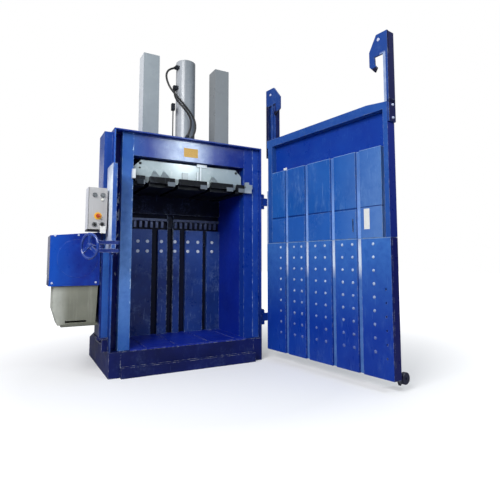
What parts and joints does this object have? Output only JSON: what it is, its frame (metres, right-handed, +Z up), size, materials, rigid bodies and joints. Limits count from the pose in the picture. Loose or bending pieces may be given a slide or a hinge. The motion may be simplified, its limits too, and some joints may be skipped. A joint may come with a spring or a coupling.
{
  "type": "recycling baler",
  "caption": "Upright baling press with a ribbed swing door standing open, a lifting upper gate with hooked arms, a ram platen between two square guide columns and a side power pack.",
  "frame": {"origin": "on the floor, in the middle of the width, at the front plane of the press chamber, where the underside of the toe bar passes under it", "axes": "+X to the right along the front, +Y from the front into the machine, +Z up"},
  "size_m": [2.4968, 2.5861, 3.08],
  "materials": {
    "frame_paint": "worn satin enamel",
    "door_paint": "scuffed satin enamel",
    "cabinet_paint": "satin enamel",
    "grey_paint": "dusty satin enamel",
    "platen_paint": "satin enamel over steel",
    "wear_steel": "rubbed bright",
    "dark_steel": "dull",
    "chrome_rod": "polished",
    "hose_rubber": "matt",
    "wheel_plastic": "moulded",
    "red_plastic": "moulded",
    "black_plastic": "moulded",
    "lamp_plastic": "clear moulded"
  },
  "bodies": {
    "frame": {"back_panel_upper": "door_paint", "back_panels": "door_paint", "back_wall": "frame_paint", "base_crossbeams": "frame_paint", "base_rail_left": "frame_paint", "base_rail_right": "frame_paint", "chamber_floor": "door_paint", "chamber_walls": "door_paint", "channel_webs": "frame_paint", "column_foot": "frame_paint", "control_box": "cabinet_paint", "cylinder_barrel": "grey_paint", "ejector_guide": "wear_steel", "front_beam": "frame_paint", "front_post_left": "frame_paint", "front_post_right": "frame_paint", "head_crossbeams": "frame_paint", "hinge_brackets": "frame_paint", "hinge_pins": "dark_steel", "hose_fittings": "dark_steel", "latch_rail": "frame_paint", "limit_switch": "dark_steel", "oil_tank": "grey_paint", "pack_bracket": "frame_paint", "pack_cover": "cabinet_paint", "pump_motor": "grey_paint", "retaining_claws": "dark_steel", "return_hose": "hose_rubber", "side_column": "frame_paint", "side_plate_left": "frame_paint", "side_plate_right": "frame_paint", "signal_lamp": "lamp_plastic", "supply_hose": "hose_rubber", "top_plate": "frame_paint"},
    "platen": {"platen_plate": "wear_steel", "platen_pads": "wear_steel", "platen_fascia": "cabinet_paint", "platen_crosshead": "platen_paint", "platen_shoes": "dark_steel", "guide_column_left": "platen_paint", "guide_column_right": "platen_paint", "piston_rod": "chrome_rod"},
    "door": {"door_panel": "door_paint", "door_strips": "door_paint", "hinge_leaves": "door_paint", "gate_guide_rails": "wear_steel", "roller_bracket": "door_paint"},
    "gate": {"gate_frame": "door_paint", "gate_sheet": "door_paint", "gate_strips": "door_paint", "lifting_arm_left": "door_paint", "lifting_arm_right": "door_paint"},
    "roller": {"door_roller": "wheel_plastic"},
    "latch": {"latch_arm": "wear_steel"},
    "wheel": {"hand_wheel": "wheel_plastic"},
    "emergency_button": {"emergency_stop": "red_plastic"},
    "upper_button": {"button_up": "black_plastic"},
    "lower_button": {"button_down": "black_plastic"},
    "left_knob": {"selector_left": "black_plastic"},
    "right_knob": {"selector_right": "black_plastic"}
  },
  "joints": [
    {"name": "platen_slide", "type": "slide", "parent": "frame", "child": "platen", "axis": [0, 0, 1], "range_m": [-0.85, 0]},
    {"name": "door_swing", "type": "hinge", "parent": "frame", "child": "door", "pos_m": [0.79, 0.045, 0.9], "axis": [0, 0, 1], "range_deg": [-97.6, 65]},
    {"name": "gate_slide", "type": "slide", "parent": "door", "child": "gate", "axis": [0, 0, 1], "range_m": [0, 0.65]},
    {"name": "roller_spin", "type": "hinge", "parent": "door", "child": "roller", "pos_m": [1.20652, -1.43592, 0.097], "axis": [-0.1323, 0.9912, 0], "continuous": true},
    {"name": "latch_swing", "type": "hinge", "parent": "frame", "child": "latch", "pos_m": [-0.7815, -0.155, 1.127], "axis": [0, 0, 1], "range_deg": [0, 120]},
    {"name": "wheel_spin", "type": "hinge", "parent": "latch", "child": "wheel", "pos_m": [-0.8795, -0.155, 1.127], "axis": [-0.8616, -0.5075, 0], "continuous": true},
    {"name": "emergency_press", "type": "slide", "parent": "frame", "child": "emergency_button", "axis": [0, 1, 0], "range_m": [0, 0.005], "stiffness_N_per_m": 600, "springref_m": -0.003},
    {"name": "upper_press", "type": "slide", "parent": "frame", "child": "upper_button", "axis": [0, 1, 0], "range_m": [0, 0.003], "stiffness_N_per_m": 500, "springref_m": -0.002},
    {"name": "lower_press", "type": "slide", "parent": "frame", "child": "lower_button", "axis": [0, 1, 0], "range_m": [0, 0.003], "stiffness_N_per_m": 500, "springref_m": -0.002},
    {"name": "left_turn", "type": "hinge", "parent": "frame", "child": "left_knob", "pos_m": [-0.919, -0.06, 1.568], "axis": [0, 1, 0], "range_deg": [-45, 45]},
    {"name": "right_turn", "type": "hinge", "parent": "frame", "child": "right_knob", "pos_m": [-0.854, -0.06, 1.57], "axis": [0, 1, 0], "range_deg": [-45, 45]}
  ]
}
